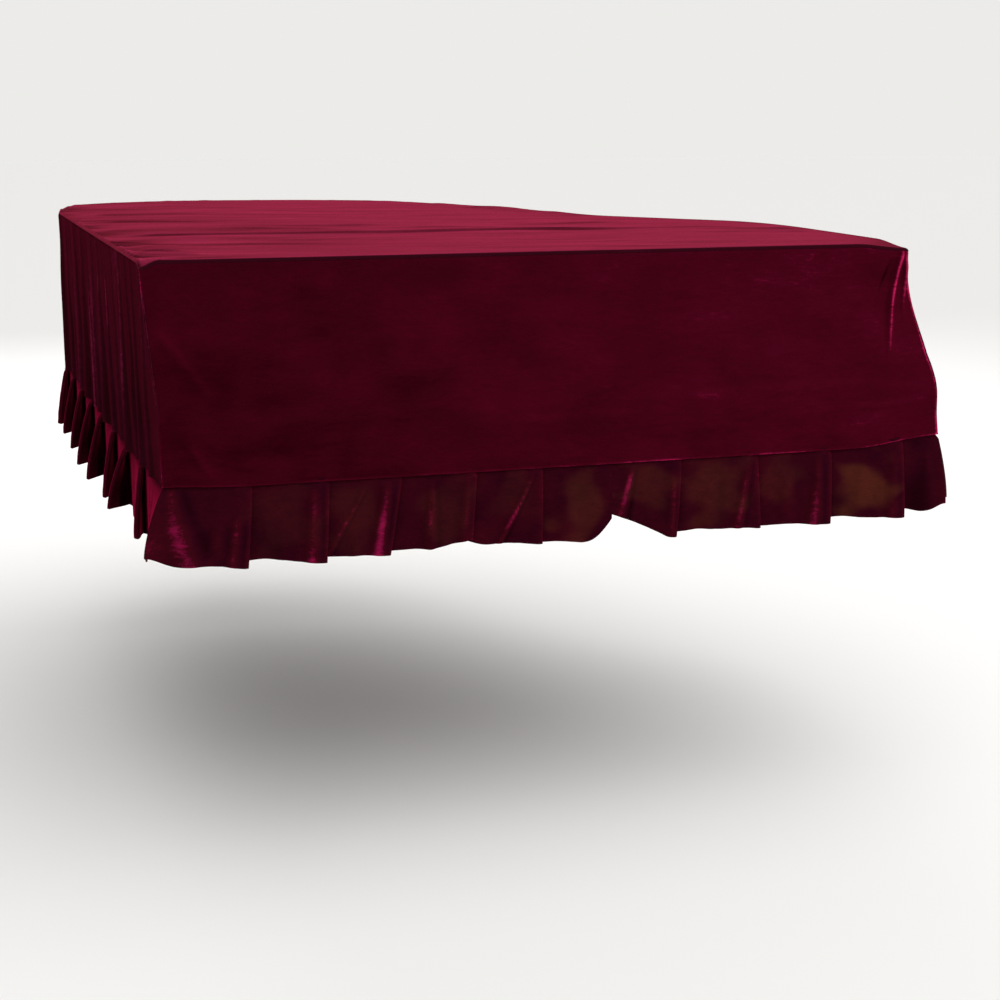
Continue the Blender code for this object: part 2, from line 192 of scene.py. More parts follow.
def stations(length, step):
    # places from 0 to 1, closer together by both ends
    close = [0.0, 0.0006, 0.0014, 0.0026, 0.0042, 0.0065]
    inner = np.linspace(close[-1] + step * 0.6, length - close[-1] - step * 0.6, max(3, int(length / step)))
    full = np.concatenate([close, inner, [length - value for value in reversed(close)]])
    return full / length


def layCloth(name, columns, rows, place):
    # a flat grid, each point moved to where the cloth hangs; the map keeps its flat measure in metres.
    # the third value from place is painted highlight up to 1 and painted shade down to -1, with some random tone; the
    # fourth is where the pile is thin, painted browner as light shining through from behind
    bpy.ops.object.select_all(action="DESELECT")
    bpy.ops.mesh.primitive_grid_add(x_subdivisions=len(columns) - 1, y_subdivisions=len(rows) - 1, size=2)
    piece = bpy.context.active_object
    piece.name = name
    piece.data.name = name
    mesh = piece.data
    co = np.zeros(len(mesh.vertices) * 3, np.float32)
    mesh.vertices.foreach_get("co", co)
    co = co.reshape(-1, 3)
    column = np.rint((co[:, 0] + 1) / 2 * (len(columns) - 1)).astype(int)
    row = np.rint((1 - co[:, 1]) / 2 * (len(rows) - 1)).astype(int)
    hung, flat, paintedLightAndTone, thinLitThrough = place(np.asarray(columns), np.asarray(rows))
    mesh.vertices.foreach_set("co", hung[column, row].astype(np.float32).ravel())
    for key, values in {"paintedLightAndTone": paintedLightAndTone, "thinLitThrough": thinLitThrough}.items():
        spread = np.broadcast_to(values, hung.shape[:2])[column, row]
        mesh.attributes.new(key, "FLOAT", "POINT").data.foreach_set("value", spread.astype(np.float32))
    corner = np.zeros(len(mesh.loops), np.int32)
    mesh.loops.foreach_get("vertex_index", corner)
    mapped = flat[column, row][corner].astype(np.float32)
    mesh.uv_layers[0].name = "cloth"
    mesh.uv_layers[0].data.foreach_set("uv", mapped.ravel())
    mesh.update()
    return piece


def thicken(piece, pile, reverse):
    piece.data.materials.append(pile)
    piece.data.materials.append(reverse)
    bpy.context.view_layer.objects.active = piece
    thickness = piece.modifiers.new("thickness", "SOLIDIFY")
    thickness.thickness = cloth["thick"]
    thickness.offset = 0
    thickness.use_even_offset = True
    thickness.material_offset = 1
    bpy.ops.object.modifier_apply(modifier=thickness.name)
    piece.select_set(True)
    bpy.ops.object.shade_smooth_by_angle(angle=math.radians(50))
    piece.select_set(False)


def declare(piece, node):
    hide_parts(node)
    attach(piece, "root")


# ---- materials

def rgb(hexColour):
    # sRGB hex to linear
    values = [int(hexColour[index:index + 2], 16) / 255 for index in (1, 3, 5)]
    return tuple(v / 12.92 if v <= 0.04045 else ((v + 0.055) / 1.055) ** 2.4 for v in values) + (1.0,)


def addNode(tree, kind, at, settings=None, links=None):
    # links maps an input of the new node to an output socket
    node = tree.nodes.new(kind)
    node.location = at
    for key, value in (settings or {}).items():
        if isinstance(key, int) or key in node.inputs:
            node.inputs[key].default_value = value
        else:
            setattr(node, key, value)
    for key, socket in (links or {}).items():
        tree.links.new(socket, node.inputs[key])
    return node


velvet = {
    "pile": 0.0016,         # the pile's tufts, m; drawn about three times coarser than real, so that they show
    "brushedAndLit": 0.014,       # patches where the pile leans another way; the same strokes break up the painted light and shade
    "crushed": 0.085,       # wide soft crush marks
    "wornLitThrough": "#502617",      # colour of the thin places, where the pile is sparse, painted browner as light shining through from behind
}


def pileVelvet(name, tones, sheenTint, sheen, roughness, relief, strokes):
    # silk-like cut pile: near black looked straight into, light and coloured seen from the side; tones run from
    # painted shade through the pile's own darker and lighter tones to painted highlight
    material = bpy.data.materials.new(name)
    material.use_nodes = True
    tree = material.node_tree
    shader = tree.nodes["Principled BSDF"]
    where = addNode(tree, "ShaderNodeUVMap", (-1700, 0), {"uv_map": "cloth"}).outputs["UV"]
    # brush strokes are longer along the cloth than up it
    strokeMap = addNode(tree, "ShaderNodeMapping", (-1500, 0), {"Scale": (*strokes, 1.0)}, {"Vector": where})
    spot = strokeMap.outputs["Vector"]
    crushed = addNode(
        tree, "ShaderNodeTexNoise", (-1250, 300),
        {"Scale": 1 / velvet["crushed"], "Detail": 2.0, "Roughness": 0.55, "Distortion": 0.4}, {"Vector": spot},
    )
    brushedAndLit = addNode(
        tree, "ShaderNodeTexNoise", (-1250, 0),
        {"Scale": 1 / velvet["brushedAndLit"], "Detail": 5.0, "Roughness": 0.62, "Distortion": 1.4}, {"Vector": spot},
    )
    tufts = addNode(
        tree, "ShaderNodeTexNoise", (-1250, -300),
        {"Scale": 1 / velvet["pile"], "Detail": 2.0, "Roughness": 0.6}, {"Vector": where},
    )
    # mottle = 0.28 of the wide marks and 0.46 of the strokes, about a middle of 0.5
    wide = addNode(
        tree, "ShaderNodeMath", (-1000, 300),
        {"operation": "MULTIPLY_ADD", 1: 0.28, 2: 0.13}, {0: crushed.outputs["Fac"]},
    )
    mottle = addNode(
        tree, "ShaderNodeMath", (-800, 250), {"operation": "MULTIPLY_ADD", 1: 0.46},
        {0: brushedAndLit.outputs["Fac"], 2: wide.outputs["Value"]},
    )
    # the painted light and shade break up with the strokes
    paintedLightAndTone = addNode(tree, "ShaderNodeAttribute", (-1250, 550), {"attribute_name": "paintedLightAndTone"})
    ragged = addNode(
        tree, "ShaderNodeMath", (-1000, 500),
        {"operation": "MULTIPLY_ADD", 1: 0.5, 2: 0.3}, {0: brushedAndLit.outputs["Fac"]},
    )
    # and single tufts speckle it
    grain = addNode(
        tree, "ShaderNodeMath", (-800, 50),
        {"operation": "MULTIPLY_ADD", 1: 0.36, 2: -0.18}, {0: tufts.outputs["Fac"]},
    )
    speckled = addNode(
        tree, "ShaderNodeMath", (-600, 150), {"operation": "ADD"},
        {0: mottle.outputs["Value"], 1: grain.outputs["Value"]},
    )
    toneWithPaintedLight = addNode(
        tree, "ShaderNodeMath", (-600, 350), {"operation": "MULTIPLY_ADD"},
        {0: paintedLightAndTone.outputs["Fac"], 1: ragged.outputs["Value"], 2: speckled.outputs["Value"]},
    )
    # the ramp's darkest tone is reached only where shade is painted, its lightest only where a highlight is painted
    colour = addNode(tree, "ShaderNodeValToRGB", (-400, 300), None, {"Fac": toneWithPaintedLight.outputs["Value"]})
    ramp = colour.color_ramp
    ramp.elements[0].position, ramp.elements[1].position = 0.05, 1.0
    for place in (0.36, 0.69):
        ramp.elements.new(place)
    for element, tone in zip(ramp.elements, tones):
        element.color = rgb(tone)
    # thin places mix towards the browner colour painted for light shining through from behind
    thinLitThrough = addNode(tree, "ShaderNodeAttribute", (-600, 650), {"attribute_name": "thinLitThrough"})
    patch = addNode(
        tree, "ShaderNodeMath", (-400, 600), {"operation": "MULTIPLY"},
        {0: thinLitThrough.outputs["Fac"], 1: ragged.outputs["Value"]},
    )
    wornLitThrough = addNode(
        tree, "ShaderNodeMix", (-150, 300), {"data_type": "RGBA"},
        {0: patch.outputs["Value"], 6: colour.outputs["Color"]},
    )
    wornLitThrough.inputs[7].default_value = rgb(velvet["wornLitThrough"])
    tree.links.new(wornLitThrough.outputs[2], shader.inputs["Base Color"])
    heights = addNode(
        tree, "ShaderNodeMix", (-600, -250), {"data_type": "FLOAT"},
        {2: brushedAndLit.outputs["Fac"], 3: tufts.outputs["Fac"]},
    )
    heights.inputs[0].default_value = 0.25
    bump = addNode(
        tree, "ShaderNodeBump", (-350, -250), {"Strength": relief, "Distance": 0.0025}, {"Height": heights.outputs[0]}
    )
    tree.links.new(bump.outputs["Normal"], shader.inputs["Normal"])
    shader.inputs["Roughness"].default_value = 0.8
    shader.inputs["Specular IOR Level"].default_value = 0.0
    shader.inputs["Sheen Weight"].default_value = sheen
    shader.inputs["Sheen Roughness"].default_value = roughness
    shader.inputs["Sheen Tint"].default_value = rgb(sheenTint)
    return material


woven = {
    "thread": 0.0024,       # thread spacing, m; drawn about five times coarser than real, so that it shows
    "dark": "#3a1a20",
    "light": "#4e262c",
}


def wovenReverse():
    # back of the velvet: the flat woven ground, dull and browner than the pile
    material = bpy.data.materials.new("velvet reverse, woven ground")
    material.use_nodes = True
    tree = material.node_tree
    shader = tree.nodes["Principled BSDF"]
    where = addNode(tree, "ShaderNodeUVMap", (-900, 0), {"uv_map": "cloth"}).outputs["UV"]
    threads = addNode(
        tree, "ShaderNodeTexWave", (-650, 0),
        {"Scale": 1 / woven["thread"] / 2, "Distortion": 0.6, "Detail": 1.0}, {"Vector": where},
    )
    colour = addNode(tree, "ShaderNodeMix", (-350, 100), {"data_type": "RGBA"}, {0: threads.outputs["Fac"]})
    colour.inputs[6].default_value = rgb(woven["dark"])
    colour.inputs[7].default_value = rgb(woven["light"])
    tree.links.new(colour.outputs[2], shader.inputs["Base Color"])
    relief = addNode(
        tree, "ShaderNodeBump", (-350, -200),
        {"Strength": 0.3, "Distance": 0.0004}, {"Height": threads.outputs["Fac"]},
    )
    tree.links.new(relief.outputs["Normal"], shader.inputs["Normal"])
    shader.inputs["Roughness"].default_value = 0.9
    shader.inputs["Specular IOR Level"].default_value = 0.2
    return material


reverse = wovenReverse()
# the four copies of one velvet differ in tone as painted light and shade: the top lighter for the light from
# overhead, the sides darker in shade, with some of it from the pile being brushed another way on each panel
topVelvet = pileVelvet(
    "wine pile velvet, top", ("#280610", "#66182e", "#7e1e3a", "#a83859"), "#ff4c6c", 0.21, 0.40, 0.3, (0.5, 1.3)
)
frontVelvet = pileVelvet(
    "wine pile velvet, front", ("#1a0006", "#34030f", "#420416", "#a01848"), "#ff2868", 0.28, 0.30, 0.35, (0.45, 1.5)
)
sideVelvet = pileVelvet(
    "wine pile velvet, sides", ("#100205", "#20050c", "#300815", "#641634"), "#ff3060", 0.07, 0.30, 0.25, (0.25, 0.8)
)
ruffleVelvet = pileVelvet(
    "wine pile velvet, ruffle", ("#100104", "#280410", "#380712", "#84103e"), "#ff2464", 0.40, 0.30, 0.4, (0.6, 1.2)
)
print("materials ready")


# ---- top

top = {
    "tailY": 0.800,         # the rows of the grid are straight up to here, then follow the tail
    "length": 1.55,         # of the grid, keyboard end to tail
    "columns": 190,
    "rows": 215,
    "puckerReach": 0.032,   # how far the puckers run in from the bass edge
    "edgeShade": 0.95,      # how dark the painted shade is by the bass edge
    "darkestShade": -0.62,       # and how dark the painted shade goes at most anywhere else
    "rimShade": 0.45,       # how dark the painted shade is on the turned-down rim, and twice that along the front
}

# creases across the top: both ends, height, half width, how long it takes to fade at each end, and how dark the
# painted shade along it is
topCreases = [
    ((-0.72, -0.190), (0.72, -0.252), 0.0052, 0.014, (0.10, 0.30), 0.72),
    ((-0.70, -0.120), (0.20, -0.205), 0.0020, 0.016, (0.20, 0.30), 0.48),
    ((-0.58, 0.070), (-0.02, -0.060), 0.0030, 0.018, (0.15, 0.20), 0.48),
    ((-0.50, -0.020), (-0.15, -0.130), 0.0024, 0.014, (0.12, 0.15), 0.48),
    ((-0.71, 0.200), (-0.40, 0.160), 0.0036, 0.020, (0.05, 0.18), 0.48),
    ((-0.71, 0.450), (-0.38, 0.420), 0.0040, 0.024, (0.05, 0.20), 0.48),
    ((-0.35, 0.300), (0.25, 0.220), 0.0016, 0.024, (0.20, 0.20), 0.48),
    ((0.10, -0.050), (0.60, -0.090), 0.0016, 0.020, (0.15, 0.15), 0.48),
    ((0.45, -0.285), (0.72, -0.330), 0.0030, 0.016, (0.10, 0.05), 0.48),
    ((0.40, -0.360), (0.72, -0.400), 0.0026, 0.014, (0.12, 0.05), 0.48),
    ((-0.60, -0.420), (0.40, -0.440), 0.0010, 0.018, (0.20, 0.30), 0.48),
    ((-0.10, -0.520), (0.65, -0.545), 0.0009, 0.016, (0.20, 0.20), 0.48),
    ((-0.73, -0.520), (-0.58, -0.590), 0.0030, 0.013, (0.03, 0.10), 0.48),
    ((-0.73, -0.600), (-0.60, -0.655), 0.0032, 0.011, (0.03, 0.08), 0.48),
    ((-0.73, -0.430), (-0.62, -0.470), 0.0022, 0.013, (0.03, 0.08), 0.48),
    ((0.16, 0.700), (0.45, 0.100), 0.0045, 0.040, (0.16, 0.20), 0.2),
]


def topCreaseLines(x, y):
    # height of the creases, the painted shade in them and a faint painted highlight behind them
    height, paintedLightAndTone = np.zeros(x.shape), np.zeros(x.shape)
    for number, ((x0, y0), (x1, y1), tall, width, (fadeIn, fadeOut), creaseShade) in enumerate(topCreases):
        length = math.hypot(x1 - x0, y1 - y0)
        along = ((x - x0) * (x1 - x0) + (y - y0) * (y1 - y0)) / length
        across = ((y - y0) * (x1 - x0) - (x - x0) * (y1 - y0)) / length
        across = across + 0.005 * wander(along, along * 0, 0.16, 40 + number)
        ends = smoothStep(along / fadeIn) * smoothStep((length - along) / fadeOut)
        rise = 0.8 + 0.3 * wander(along, along * 0, 0.10, 60 + number)
        # steeper towards the keyboard, with a long soft back
        side = np.where(across < 0, across / width, across / (width * 2.4))
        height += tall * ends * rise * softBump(side)
        creaseDarkness = creaseShade * min(1.0, tall / 0.0042)
        paintedLightAndTone -= creaseDarkness * ends * rise * softBump((across + 0.6 * width) / (1.4 * width))
        paintedLightAndTone += 0.25 * creaseDarkness * ends * softBump((across - 1.2 * width) / (1.5 * width))
    return height, paintedLightAndTone


def edgeDistance(x, y):
    # distance to the lid's outline
    outline = np.concatenate([sideRoute["points"], onRoute(frontRoute, np.linspace(0, 2 * half, 60))])
    start, end = outline, np.roll(outline, -1, axis=0)
    step = end - start
    size = np.maximum((step ** 2).sum(axis=1), 1e-12)
    nearest = np.full(x.shape, 9.0)
    for (sx, sy), (dx, dy), squared in zip(start, step, size):
        share = np.clip(((x - sx) * dx + (y - sy) * dy) / squared, 0, 1)
        nearest = np.minimum(nearest, np.hypot(x - sx - share * dx, y - sy - share * dy))
    return nearest


def placeTop(columns, rows):
    sideMark = np.linspace(0, sideLength, 4000)
    sidePlace = onRoute(sideRoute, sideMark)
    summit = np.argmax(sidePlace[:, 1])
    trebleMark = np.interp(top["tailY"], sidePlace[:summit, 1], sideMark[:summit])
    bassMark = np.interp(top["tailY"], sidePlace[summit:, 1][::-1], sideMark[summit:][::-1])
    back = 1 - rows         # the first row lies along the tail
    y = front + back * (top["tailY"] - front)
    trebleX = np.interp(y, sidePlace[:summit, 1], sidePlace[:summit, 0])
    bassX = np.interp(y, sidePlace[summit:, 1][::-1], sidePlace[summit:, 0][::-1])
    tail = onRoute(sideRoute, bassMark + columns * (trebleMark - bassMark))
    u, v = columns[:, None], back[None, :]
    x = (1 - u) * bassX[None, :] + u * trebleX[None, :]
    yy = np.repeat(y[None, :], len(columns), axis=0)
    bend = smoothStep((v - 0.45) / 0.55)
    x = x + bend * (tail[:, :1] - ((1 - u) * bassX[0] + u * trebleX[0]))
    yy = yy + bend * (tail[:, 1:] - top["tailY"])
    away = edgeDistance(x, yy)
    edge = lid["edge"]
    inside = np.clip(edge - away, 0, edge)
    z = cloth["thick"] / 2 - edge + np.sqrt(np.maximum(edge ** 2 - inside ** 2, 0))
    flatPart = smoothStep(away / 0.020)
    fromBass = np.maximum(x + half, 0)
    # the skirt's weight draws short puckers in over the bass edge
    pucker = np.maximum(wander(yy + 0.25 * fromBass, fromBass * 0.2, 0.016, 5), -0.3)
    pucker = pucker * np.exp(-fromBass / top["puckerReach"])
    strength = 0.45 + 0.9 * smoothStep((-0.20 - yy) / 0.3) + 1.0 * smoothStep((yy - 0.45) / 0.2)
    z = z + 0.0044 * pucker * strength * smoothStep(away / 0.005)
    z = z - 0.0035 * np.exp(-fromBass / 0.030) * flatPart
    fromTail = away * smoothStep((yy - 0.3) / 0.3) + 0.2 * (1 - smoothStep((yy - 0.3) / 0.3))
    z = z + 0.0012 * np.maximum(wander(x, yy * 0.4, 0.030, 8), 0) * np.exp(-fromTail / 0.040) * flatPart
    height, paintedLightAndTone = topCreaseLines(x, yy)
    z = z + height * flatPart
    ripple = 0.0011 * wander(x * 0.22, yy, 0.045, 12) + 0.0006 * wander(x * 0.15, yy, 0.020, 14)
    z = z + ripple * smoothStep(away / 0.060)
    z = z + 0.0010 * flatPart * (1 + wander(x, yy, 0.30, 13)) / 2 - sagAt(x, yy)
    # painted shade by the bass edge and the treble corner, and a painted highlight along the front edge
    paintedLightAndTone = paintedLightAndTone - top["edgeShade"] * np.exp(-fromBass / 0.080) * (0.70 + 0.7 * wander(yy, fromBass * 0.3, 0.05, 15))
    paintedLightAndTone = paintedLightAndTone - 0.9 * smoothStep(1 - np.hypot(x - half, yy - front) / 0.16)
    leftShare = 0.35 + 0.65 * smoothStep((-0.05 - x) / 0.30)
    paintedLightAndTone = paintedLightAndTone + 0.6 * leftShare * softBump((yy - front - 0.007) / 0.011) * smoothStep((x + half) / 0.06)
    # painted shade along the bentside's edge
    onBentside = smoothStep((x + 0.15) / 0.30) * smoothStep((yy - front - 0.05) / 0.10)
    paintedLightAndTone = paintedLightAndTone - 1.1 * onBentside * np.exp(-away / 0.016)
    paintedLightAndTone = paintedLightAndTone + 0.34 * wander(x * 0.10, yy, 0.022, 16) * (0.6 + 0.5 * wander(x, yy, 0.30, 17))
    # broad darker places in the bass third
    paintedLightAndTone = paintedLightAndTone - 0.30 * smoothStep((-0.10 - x) / 0.40) * (0.6 + 0.6 * wander(x * 0.4, yy, 0.11, 18))
    # painted highlights on the puckers by the bass edge
    paintedLightAndTone = paintedLightAndTone + 1.2 * np.maximum(pucker, 0) * strength ** 1.5 * (fromBass < 0.14)
    # painted shade on the turned-down rim
    rim = smoothStep((0.0052 - away) / 0.0030)
    rimShade = top["rimShade"] + top["rimShade"] * smoothStep((front + 0.030 - yy) / 0.020)
    paintedLightAndTone = np.maximum(paintedLightAndTone, top["darkestShade"] - 0.26 * np.exp(-fromBass / 0.10)) * (1 - rim) - rimShade * rim
    return np.stack([x, yy, z], axis=-1), np.stack([x, yy], axis=-1), paintedLightAndTone, 0.0


topColumns = stations(2 * half, 2 * half / top["columns"])
topRows = stations(top["length"], top["length"] / top["rows"])
topPanel = layCloth("topPanel", topColumns, topRows, placeTop)
thicken(topPanel, topVelvet, reverse)
declare(topPanel, "top_panel")
print("top laid")


# ---- skirt

def rolledEdge(distance, depth=0.0012):
    # a sewn edge turns in over its last 5 mm
    return -depth * (1 - smoothStep(distance / 0.0050)) ** 2


def edgeLight(distance, reach):
    return smoothStep(1 - distance / reach)


skirtLip = -0.0012      # the skirt's foot turns out a little over the ruffle's seam
seamTuck = 0.0019       # and its top goes in behind the rim of the top


# folds of the front: the pulls from the lid's treble corner, two by the bass corner, then the crush folds over the
# arms; x and depth at both ends, height, half width, share of its length over which it fades, how strong the painted
# highlight on it is (painted shade where negative), and how wide that highlight is for the fold's width
frontFolds = [
    ((0.741, 0.012), (0.656, 0.235), 0.0100, 0.011, 0.50, 1.10, 0.35),
    ((0.748, 0.035), (0.720, 0.165), 0.0070, 0.008, 0.80, 0.60, 0.35),
    ((0.715, 0.030), (0.664, 0.120), -0.0035, 0.014, 0.50, -0.50, 0.35),
    ((-0.735, 0.110), (-0.640, 0.235), 0.0042, 0.020, 0.45, 0.42, 0.6),
    ((-0.700, 0.290), (-0.648, 0.372), 0.0046, 0.016, 0.45, 0.46, 0.6),
    ((-0.480, 0.296), (-0.330, 0.306), 0.0022, 0.012, 0.30, 0.09, 0.9),
    ((-0.640, 0.258), (0.700, 0.254), 0.0014, 0.016, 0.10, 0.05, 1.2),
    ((-0.100, 0.286), (0.300, 0.280), 0.0022, 0.014, 0.40, 0.10, 1.0),
    ((0.220, 0.262), (0.735, 0.240), 0.0034, 0.015, 0.20, 0.11, 1.1),
    ((0.560, 0.292), (0.740, 0.284), 0.0030, 0.012, 0.20, 0.20, 0.9),
    ((0.080, 0.322), (0.420, 0.316), 0.0016, 0.010, 0.25, 0.07, 0.9),
]


def pullLines(x, drop):
    # height of the pulls, and the painted highlight on them, painted shade where the glow is negative
    height, paintedLightAndTone = np.zeros(x.shape), np.zeros(x.shape)
    for number, ((x0, d0), (x1, d1), tall, width, fade, glow, spread) in enumerate(frontFolds):
        length = math.hypot(x1 - x0, d1 - d0)
        along = ((x - x0) * (x1 - x0) + (drop - d0) * (d1 - d0)) / length
        across = ((drop - d0) * (x1 - x0) - (x - x0) * (d1 - d0)) / length
        across = across + 0.002 * wander(along, along * 0, 0.06, 80 + number)
        ends = smoothStep((along + 0.01) / 0.03) * smoothStep((length - along) / (fade * length))
        height += tall * ends * softBump(across / width)
        broken = 0.75 + 0.45 * wander(along, across * 0.7, 0.05, 110 + number)
        paintedLightAndTone += glow * broken * ends * softBump(across / max(0.0040, spread * width))
    return height, paintedLightAndTone


def placeFront(columns, rows):
    u, share = columns[:, None], rows[None, :]
    topDrop = lid["edge"] - cloth["tuckUnder"]
    evenDrop = topDrop + share * (skirt["drop"] - topDrop)
    halfHere = half - skirt["taper"] * evenDrop / skirt["drop"] + cloth["thick"] / 2
    x = (2 * u - 1) * halfHere
    sag = sagAt(x, front + 0 * x)
    drop = topDrop + sag + share * (frontSeam(x) - topDrop - sag)
    out = frontOut(evenDrop, x)
    fromSide = halfHere - np.abs(x)
    fromFoot, fromTop = (1 - share) * skirt["frontRun"], share * skirt["frontRun"]
    free = smoothStep(share / 0.15) * smoothStep(fromSide / 0.05)
    height, paintedLightAndTone = pullLines(x, drop)
    footHeld = smoothStep((1 - share) / 0.06)       # the seam holds the foot level
    free = free * footHeld
    out = out + height * footHeld
    out = out + free * (0.0016 * wander(x, drop * 0.7, 0.16, 21) + 0.0005 * wander(x * 0.5, drop, 0.035, 22))
    nearSeam = smoothStep((share - 0.88) / 0.12)
    out = out + nearSeam * 0.0010 * wander(x, drop * 0, 0.022, 23)
    out = out + rolledEdge(fromSide) + rolledEdge(fromFoot, skirtLip) + rolledEdge(fromTop, seamTuck)
    # crush marks over the arms
    crush = np.maximum(wander(x * 0.40, drop * 1.3, 0.020, 24) - 0.10, 0)
    paintedLightAndTone = paintedLightAndTone + 0.10 * crush * smoothStep((drop - 0.18) / 0.08) * (0.5 + 0.5 * smoothStep((x + 0.2) / 0.5))
    # painted light: lighter towards the treble side, darker towards the bass side and the foot, with soft random
    # patches; the light end is held down
    brushedAndLit = 0.28 * smoothStep((x + 0.55) / 0.50) + 0.12 * smoothStep(x / 0.50)
    brushedAndLit = brushedAndLit - 0.17 * smoothStep(share / 0.60) - 0.22
    brushedAndLit = brushedAndLit + 0.09 * wander(x, drop * 1.3, 0.09, 25) + 0.06 * wander(x * 0.7, drop, 0.030, 28)
    paintedLightAndTone = paintedLightAndTone + np.minimum(brushedAndLit, 0.15 + 0.25 * (brushedAndLit - 0.15))
    # light caught on the sewn edges, and on the cloth crushed over the foot by the bass corner
    paintedLightAndTone = paintedLightAndTone + edgeLight(fromFoot, 0.0050) * (0.42 + 0.20 * wander(x, drop * 0, 0.040, 26))
    byBassFoot = smoothStep((-0.40 - x) / 0.20) * smoothStep(1 - np.abs(share - 0.93) / 0.09)
    paintedLightAndTone = paintedLightAndTone + 0.30 * byBassFoot * (0.6 + 0.7 * wander(x * 0.5, drop * 1.5, 0.030, 29))
    trebleSide = smoothStep(x / 0.30)
    sideLight = (0.70 + 0.10 * trebleSide) + 0.2 * wander(drop, x * 0, 0.05, 27)
    paintedLightAndTone = paintedLightAndTone + edgeLight(fromSide, 0.0045 + 0.0040 * trebleSide) * sideLight
    return np.stack([x, front - out, -drop], axis=-1), np.stack([x, -1.15 * evenDrop + 0 * x], axis=-1), paintedLightAndTone, 0.0


frontColumns = stations(1.5, 0.0049)
byTreble = frontColumns > 0.91          # finer there, for the narrow pulls
frontColumns = np.concatenate([frontColumns[~byTreble], np.linspace(0.911, 0.9945, 62), frontColumns[-6:]])
frontPanel = layCloth("frontPanel", frontColumns, stations(skirt["frontRun"], 0.0044), placeFront)
thicken(frontPanel, frontVelvet, reverse)
declare(frontPanel, "front_panel")
print("front hung")

# soft folds down the sides: place on the panel in metres from its end by the tail, half width, height, how far the
# foot leans, how strong the painted highlight on it is
bassFolds = [
    (0.05, 0.060, 0.009, 0.02, 0.30), (0.17, 0.030, 0.005, 0.00, 0.50), (0.27, 0.052, 0.010, 0.02, 0.25),
    (0.39, 0.028, 0.006, 0.03, 0.60), (0.47, 0.030, 0.005, 0.02, 0.20), (0.565, 0.046, 0.009, 0.04, 0.50),
    (0.69, 0.060, 0.011, 0.03, 0.25), (0.79, 0.026, 0.006, 0.05, 0.65), (0.875, 0.030, 0.006, 0.04, 0.25),
    (0.985, 0.050, 0.011, 0.06, 0.50), (1.10, 0.030, 0.006, 0.05, 0.60), (1.19, 0.034, 0.006, 0.06, 0.20),
    (1.295, 0.046, 0.011, 0.07, 0.60), (1.40, 0.028, 0.006, 0.06, 0.25), (1.475, 0.032, 0.008, 0.07, 0.50),
    (1.575, 0.030, 0.006, 0.05, 0.25),
]


def evenFolds(length, spacing, seed):
    # plain folds for a side that stays out of sight, none quite alike
    rng = np.random.RandomState(seed)
    count = int(length / spacing)
    places = (np.arange(count) + 0.5 + rng.uniform(-0.25, 0.25, count)) * length / count
    return [
        (place, rng.uniform(0.026, 0.045), rng.uniform(0.004, 0.010), rng.uniform(-0.01, 0.02), rng.uniform(0.3, 0.5))
        for place in places
    ]


def placeSide(start, end, folds, startGrows, endGrows, seed):
    def place(columns, rows):
        u, share = columns[:, None], rows[None, :]
        topDrop = lid["edge"] - cloth["tuckUnder"]
        forward = frontOut(topDrop + share * (skirt["drop"] - topDrop), -half if endGrows else half)
        forward = forward - cloth["thick"] / 2 - cloth["gap"]
        first = start - (forward if startGrows else 0 * forward)
        last = end + (forward if endGrows else 0 * forward)
        mark = first + u * (last - first)
        point, outward = alongRoute(sideRoute, mark)
        sag = sagAt(point[..., 0], point[..., 1])
        drop = topDrop + sag + share * (sideSeam(mark) - topDrop - sag)
        ends = smoothStep((mark - first) / 0.03) * smoothStep((last - mark) / 0.03)
        out, paintedLightAndTone = np.zeros(mark.shape), np.zeros(mark.shape)
        for number, (at, width, height, foot, glow) in enumerate(folds):
            line = start + at + foot * share + 0.008 * wander(share, share * 0, 0.25, seed + number)
            narrow = width * (0.50 + 0.50 * share)
            growth = 0.12 + 0.88 * share ** 1.2
            out += height * growth * softBump((mark - line) / narrow)
            uneven = 0.75 + 0.35 * wander(share, share * 0, 0.30, seed + 50 + number)
            fade = smoothStep((share - 0.02) / 0.25) * uneven
            # painted highlight on each fold, and painted shade just beside it
            paintedLightAndTone += glow * fade * softBump((mark - line - 0.15 * narrow) / (0.55 * narrow))
            paintedLightAndTone -= 0.35 * fade * softBump((mark - line + 0.95 * narrow) / (0.6 * narrow))
        out = out + (0.3 + 0.7 * share) * 0.0014 * wander(mark - 0.15 * drop, drop * 0.18, 0.060, seed + 31)
        out = out * ends - skirt["taper"] * drop / skirt["drop"]
        out = out + rolledEdge(mark - first) + rolledEdge(last - mark)
        fromFoot, fromTop = (1 - share) * skirt["sideRun"], share * skirt["sideRun"]
        out = out + rolledEdge(fromFoot, skirtLip) + rolledEdge(fromTop, seamTuck)
        paintedLightAndTone = paintedLightAndTone * ends + 0.26 * wander(mark - 0.15 * drop, drop * 0.35, 0.09, seed + 33)
        # painted highlights along the sewn ends and the foot
        paintedLightAndTone = paintedLightAndTone + 0.3 * edgeLight(last - mark, 0.0040) + 0.3 * edgeLight(mark - first, 0.0040)
        paintedLightAndTone = paintedLightAndTone + 0.25 * edgeLight(fromFoot, 0.0040)
        point = point + outward * out[..., None]
        hung = np.concatenate([point, -drop[..., None]], axis=-1)
        return hung, np.stack([mark, -drop], axis=-1), paintedLightAndTone, 0.0
    return place


